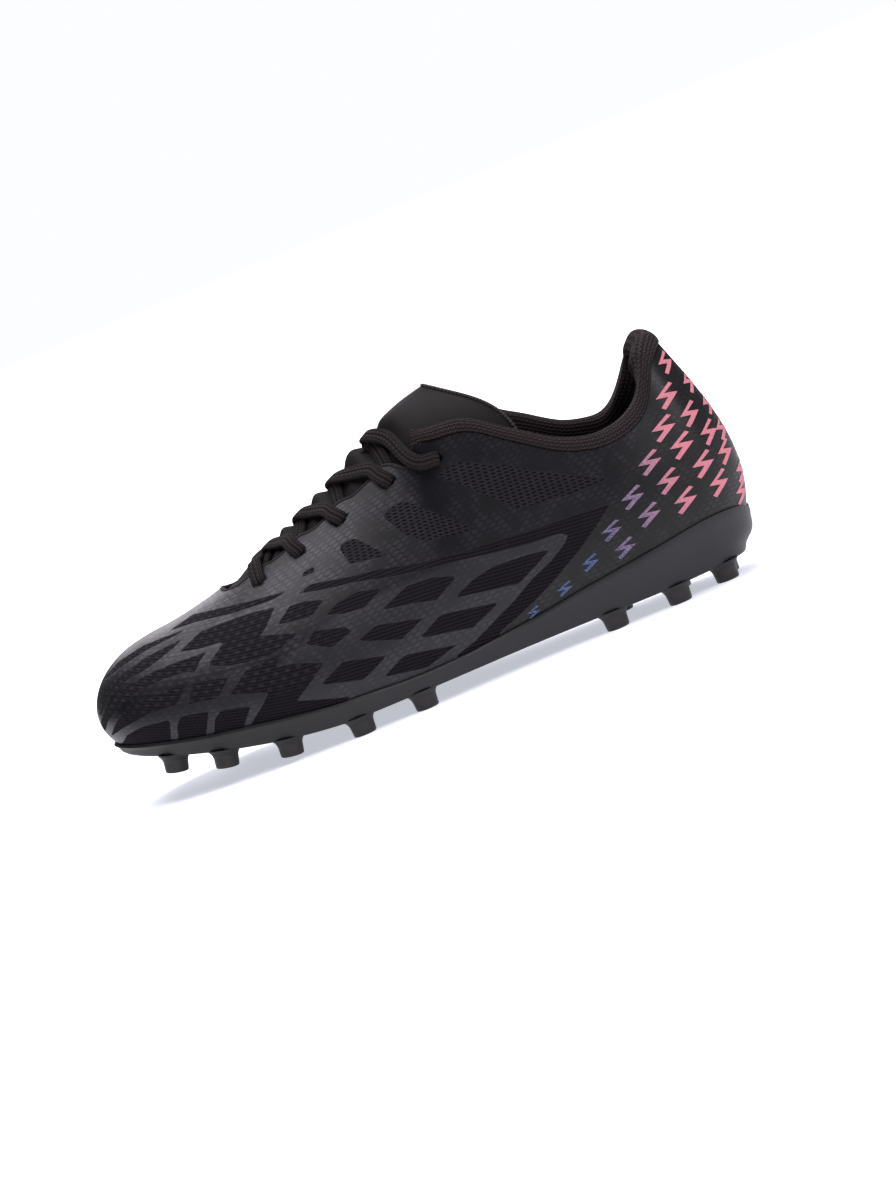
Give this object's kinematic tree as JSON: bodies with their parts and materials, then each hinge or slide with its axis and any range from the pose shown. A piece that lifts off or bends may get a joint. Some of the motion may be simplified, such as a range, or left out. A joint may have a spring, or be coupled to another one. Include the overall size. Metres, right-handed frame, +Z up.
{
  "type": "football shoe",
  "caption": "Low laced football shoe for the left foot: a hollow knitted upper with a padded collar and tongue on a moulded plate with round studs",
  "frame": {"origin": "on the ground under the middle of the shoe's outline, with the studs on z = 0", "axes": "+X from toe to heel, +Y to the inner side of the foot, +Z up"},
  "size_m": [0.2582, 0.091, 0.1114],
  "materials": {
    "outsole": "moulded black plastic, satin",
    "upper": "black knit under a thin matte film",
    "lining": "fine brown-black knit, padded",
    "tongue": "matte charcoal microfibre",
    "insole": "black cloth on foam",
    "lace": "flat dark braid"
  },
  "bodies": {
    "root": {"outsole": "outsole", "upper": "upper", "collar_lining": "lining", "tongue": "tongue", "insole": "insole", "lace": "lace"}
  },
  "joints": []
}
